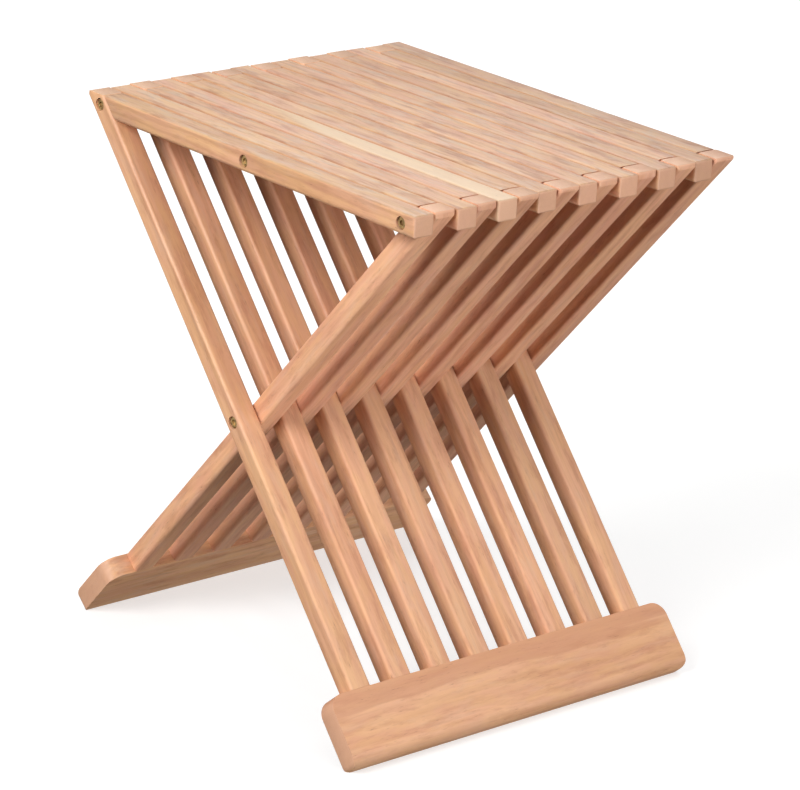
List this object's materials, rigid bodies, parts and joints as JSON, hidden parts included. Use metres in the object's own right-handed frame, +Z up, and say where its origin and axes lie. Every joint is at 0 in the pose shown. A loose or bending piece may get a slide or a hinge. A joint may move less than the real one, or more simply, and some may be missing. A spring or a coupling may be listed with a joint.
{
  "type": "folding slatted stool",
  "caption": "Folding wooden stool whose interleaved seat slats and crossed slatted legs turn on rods and close flat on two foot boards.",
  "frame": {"origin": "middle of the footprint, on the floor that the foot boards stand on", "axes": "+X towards the front edge of the seat, where the near frame's foot board stands, +Y across the stool, +Z up"},
  "size_m": [0.409, 0.3766, 0.4479],
  "materials": {
    "teak": "sanded, untreated",
    "teak_board": "sanded, untreated",
    "dowel_wood": "turned",
    "rod_steel": "drawn",
    "nut_brass": "aged"
  },
  "bodies": {
    "front_frame": {"front_leg_1": "teak", "front_leg_2": "teak", "front_leg_3": "teak", "front_leg_4": "teak", "front_leg_5": "teak", "front_leg_6": "teak", "front_leg_7": "teak", "front_leg_8": "teak", "front_foot_board": "teak_board", "front_foot_dowels": "dowel_wood", "rear_seat_rod": "rod_steel", "rear_seat_rod_nuts": "nut_brass", "crossing_rod": "rod_steel", "crossing_rod_nuts": "nut_brass"},
    "rear_frame": {"rear_leg_1": "teak", "rear_leg_2": "teak", "rear_leg_3": "teak", "rear_leg_4": "teak", "rear_leg_5": "teak", "rear_leg_6": "teak", "rear_leg_7": "teak", "rear_leg_8": "teak", "rear_foot_board": "teak_board", "rear_foot_dowels": "dowel_wood", "front_seat_rod": "rod_steel", "front_seat_rod_nuts": "nut_brass"},
    "rear_seat": {"rear_seat_slat_1": "teak", "rear_seat_slat_2": "teak", "rear_seat_slat_3": "teak", "rear_seat_slat_4": "teak", "rear_seat_slat_5": "teak", "rear_seat_slat_6": "teak", "rear_seat_slat_7": "teak", "rear_seat_slat_8": "teak", "middle_rod_rear_slats": "rod_steel", "middle_rod_far_nut": "nut_brass"},
    "front_seat": {"front_seat_slat_1": "teak", "front_seat_slat_2": "teak", "front_seat_slat_3": "teak", "front_seat_slat_4": "teak", "front_seat_slat_5": "teak", "front_seat_slat_6": "teak", "front_seat_slat_7": "teak", "front_seat_slat_8": "teak", "middle_rod_front_slats": "rod_steel", "middle_rod_near_nut": "nut_brass"}
  },
  "joints": [
    {"name": "leg_fold", "type": "hinge", "parent": "front_frame", "child": "rear_frame", "pos_m": [0, 0, 0.22465], "axis": [0, -1, 0], "range_deg": [0, 77.5]},
    {"name": "rear_seat_hinge", "type": "hinge", "parent": "front_frame", "child": "rear_seat", "pos_m": [-0.1875, 0, 0.43915], "axis": [0, -1, 0], "range_deg": [0, 125.14]},
    {"name": "front_seat_hinge", "type": "hinge", "parent": "rear_frame", "child": "front_seat", "pos_m": [0.1875, 0, 0.43915], "axis": [0, 1, 0], "range_deg": [0, 125.14]}
  ],
  "couplings": [
    {"joint": "rear_seat_hinge", "follows": "leg_fold", "ratio": 1.6141},
    {"joint": "front_seat_hinge", "follows": "leg_fold", "ratio": 1.6141}
  ]
}
